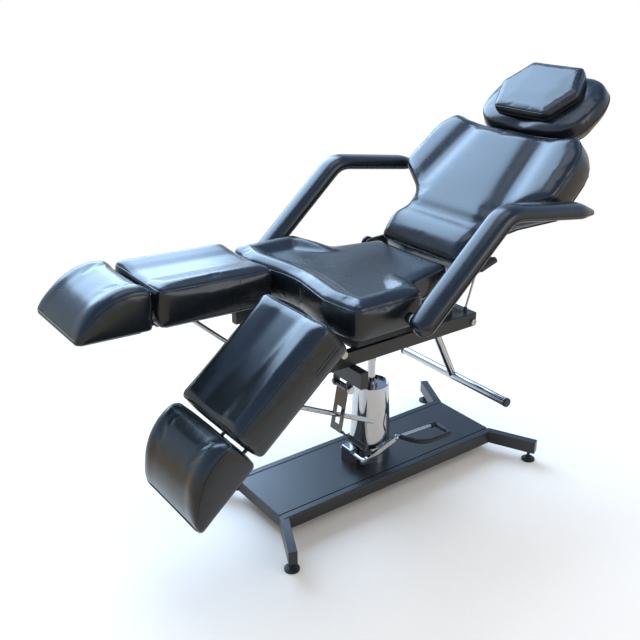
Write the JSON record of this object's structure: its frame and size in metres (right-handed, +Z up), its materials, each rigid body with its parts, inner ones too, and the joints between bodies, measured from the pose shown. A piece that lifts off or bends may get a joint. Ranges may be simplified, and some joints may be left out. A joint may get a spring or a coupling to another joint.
{
  "type": "tattoo chair",
  "caption": "Reclining tattoo chair in black vinyl with split tilting leg rests, fold-up armrests, head cushion with pillow, and a hydraulic lift column on a low base.",
  "frame": {"origin": "centre of the chair's outer box at floor level, under the feet", "axes": "+Z up, +Y from the leg rests towards the head rest, +X to the sitter's left"},
  "size_m": [0.808, 1.6828, 1.2152],
  "materials": {
    "black_steel": "satin black powder coat",
    "dark_steel": "satin dark paint",
    "chrome": "polished chrome",
    "black_vinyl": "semi-gloss black upholstery vinyl",
    "black_board": "plywood covered with black vinyl backing",
    "black_rubber": "matt black rubber",
    "black_plastic": "fine textured black plastic"
  },
  "bodies": {
    "base": {"base_frame": "black_steel", "base_plate": "black_steel", "pump_body": "dark_steel", "pump_cover": "chrome", "pump_bolts": "chrome"},
    "foot_front_left": {"levelling_foot_front_left": "black_rubber"},
    "foot_front_right": {"levelling_foot_front_right": "black_rubber"},
    "foot_rear_left": {"levelling_foot_rear_left": "black_rubber"},
    "foot_rear_right": {"levelling_foot_rear_right": "black_rubber"},
    "pedal": {"pedal_arm": "chrome", "pedal_rod": "chrome", "pedal_loop": "black_rubber"},
    "column": {"piston_rod": "chrome"},
    "seat": {"seat_rails": "black_steel", "front_crossbar": "black_steel", "frame_ties": "black_steel", "swivel_head": "black_steel", "push_bar": "chrome", "push_bar_caps": "black_plastic", "rail_bolts": "chrome", "leg_hinge_rod": "chrome", "back_brackets": "black_steel", "back_pivot_bolts": "chrome", "seat_board": "black_board", "seat_cushion": "black_vinyl", "lever_axles": "chrome", "armrest_brackets": "black_steel", "armrest_pins": "chrome", "release_boot": "black_rubber"},
    "back": {"back_frame": "black_steel", "back_board": "black_board", "back_cushion": "black_vinyl"},
    "headrest": {"headrest_posts": "chrome", "headrest_board": "black_board", "headrest_cushion": "black_vinyl", "head_pillow": "black_vinyl"},
    "recline_handle": {"recline_handle": "black_plastic"},
    "release_link": {"release_link": "chrome"},
    "calf_left": {"calf_frame_left": "black_steel", "calf_board_left": "black_board", "calf_cushion_left": "black_vinyl"},
    "footrest_left": {"foot_frame_left": "black_steel", "foot_board_left": "black_board", "foot_cushion_left": "black_vinyl"},
    "strut_left": {"strut_rod_left": "chrome"},
    "lever_left": {"release_lever_left": "chrome", "lever_grip_left": "black_plastic"},
    "armrest_left": {"armrest_board_left": "black_board", "armrest_pad_left": "black_vinyl"},
    "calf_right": {"calf_frame_right": "black_steel", "calf_board_right": "black_board", "calf_cushion_right": "black_vinyl"},
    "footrest_right": {"foot_frame_right": "black_steel", "foot_board_right": "black_board", "foot_cushion_right": "black_vinyl"},
    "strut_right": {"strut_rod_right": "chrome"},
    "lever_right": {"release_lever_right": "chrome", "lever_grip_right": "black_plastic"},
    "armrest_right": {"armrest_board_right": "black_board", "armrest_pad_right": "black_vinyl"}
  },
  "joints": [
    {"name": "foot_front_left_screw", "type": "slide", "parent": "base", "child": "foot_front_left", "axis": [0, 0, -1], "range_m": [0, 0.015]},
    {"name": "foot_front_right_screw", "type": "slide", "parent": "base", "child": "foot_front_right", "axis": [0, 0, -1], "range_m": [0, 0.015]},
    {"name": "foot_rear_left_screw", "type": "slide", "parent": "base", "child": "foot_rear_left", "axis": [0, 0, -1], "range_m": [0, 0.015]},
    {"name": "foot_rear_right_screw", "type": "slide", "parent": "base", "child": "foot_rear_right", "axis": [0, 0, -1], "range_m": [0, 0.015]},
    {"name": "pedal_press", "type": "hinge", "parent": "base", "child": "pedal", "pos_m": [0, -0.035, 0.107], "axis": [1, 0, 0], "range_deg": [-10, 0], "stiffness_Nm_per_rad": 15, "springref_deg": 28.65},
    {"name": "lift", "type": "slide", "parent": "base", "child": "column", "axis": [0, 0, 1], "range_m": [-0.12, 0.05]},
    {"name": "swivel", "type": "hinge", "parent": "column", "child": "seat", "pos_m": [0, 0.047, 0.531], "axis": [0, 0, 1], "continuous": true},
    {"name": "recline", "type": "hinge", "parent": "seat", "child": "back", "pos_m": [0, 0.177, 0.697], "axis": [1, 0, 0], "range_deg": [-40, 35]},
    {"name": "headrest_slide", "type": "slide", "parent": "back", "child": "headrest", "axis": [0, 0.7666, 0.6421], "range_m": [0, 0.07]},
    {"name": "leg_tilt_left", "type": "hinge", "parent": "seat", "child": "calf_left", "pos_m": [0.184, -0.294, 0.626], "axis": [1, 0, 0], "range_deg": [-42.3, 10]},
    {"name": "footrest_slide_left", "type": "slide", "parent": "calf_left", "child": "footrest_left", "axis": [0, -0.766, -0.6428], "range_m": [0, 0.08]},
    {"name": "strut_swing_left", "type": "hinge", "parent": "calf_left", "child": "strut_left", "pos_m": [0.184, -0.44259, 0.49349], "axis": [1, 0, 0], "range_deg": [-8, 29]},
    {"name": "release_lever_left", "type": "hinge", "parent": "seat", "child": "lever_left", "pos_m": [0.184, -0.205, 0.465], "axis": [1, 0, 0], "range_deg": [-5, 0], "stiffness_Nm_per_rad": 3, "springref_deg": 17.19},
    {"name": "armrest_fold_left", "type": "hinge", "parent": "seat", "child": "armrest_left", "pos_m": [0.366, -0.078, 0.672], "axis": [1, 0, 0], "range_deg": [0, 80]},
    {"name": "leg_tilt_right", "type": "hinge", "parent": "seat", "child": "calf_right", "pos_m": [-0.184, -0.294, 0.626], "axis": [1, 0, 0], "range_deg": [0, 52.3]},
    {"name": "footrest_slide_right", "type": "slide", "parent": "calf_right", "child": "footrest_right", "axis": [0, -0.9992, 0.0401], "range_m": [0, 0.08]},
    {"name": "strut_swing_right", "type": "hinge", "parent": "calf_right", "child": "strut_right", "pos_m": [-0.184, -0.49308, 0.62799], "axis": [1, 0, 0], "range_deg": [-35, 0]},
    {"name": "release_lever_right", "type": "hinge", "parent": "seat", "child": "lever_right", "pos_m": [-0.184, -0.205, 0.465], "axis": [1, 0, 0], "range_deg": [-5, 0], "stiffness_Nm_per_rad": 3, "springref_deg": 17.19},
    {"name": "armrest_fold_right", "type": "hinge", "parent": "seat", "child": "armrest_right", "pos_m": [-0.366, -0.078, 0.672], "axis": [1, 0, 0], "range_deg": [0, 80]},
    {"name": "recline_handle", "type": "hinge", "parent": "seat", "child": "recline_handle", "pos_m": [0.195, 0.243, 0.688], "axis": [1, 0, 0], "range_deg": [0, 12], "stiffness_Nm_per_rad": 2, "springref_deg": -22.92},
    {"name": "release_link", "type": "slide", "parent": "seat", "child": "release_link", "axis": [0, 0.3015, 0.9535], "range_m": [0, 0.007]}
  ],
  "couplings": [
    {"joint": "strut_swing_left", "follows": "leg_tilt_left", "ratio": -0.6514},
    {"joint": "strut_swing_right", "follows": "leg_tilt_right", "ratio": -0.6356},
    {"joint": "release_link", "follows": "recline_handle", "m_per_rad": 0.02619}
  ]
}
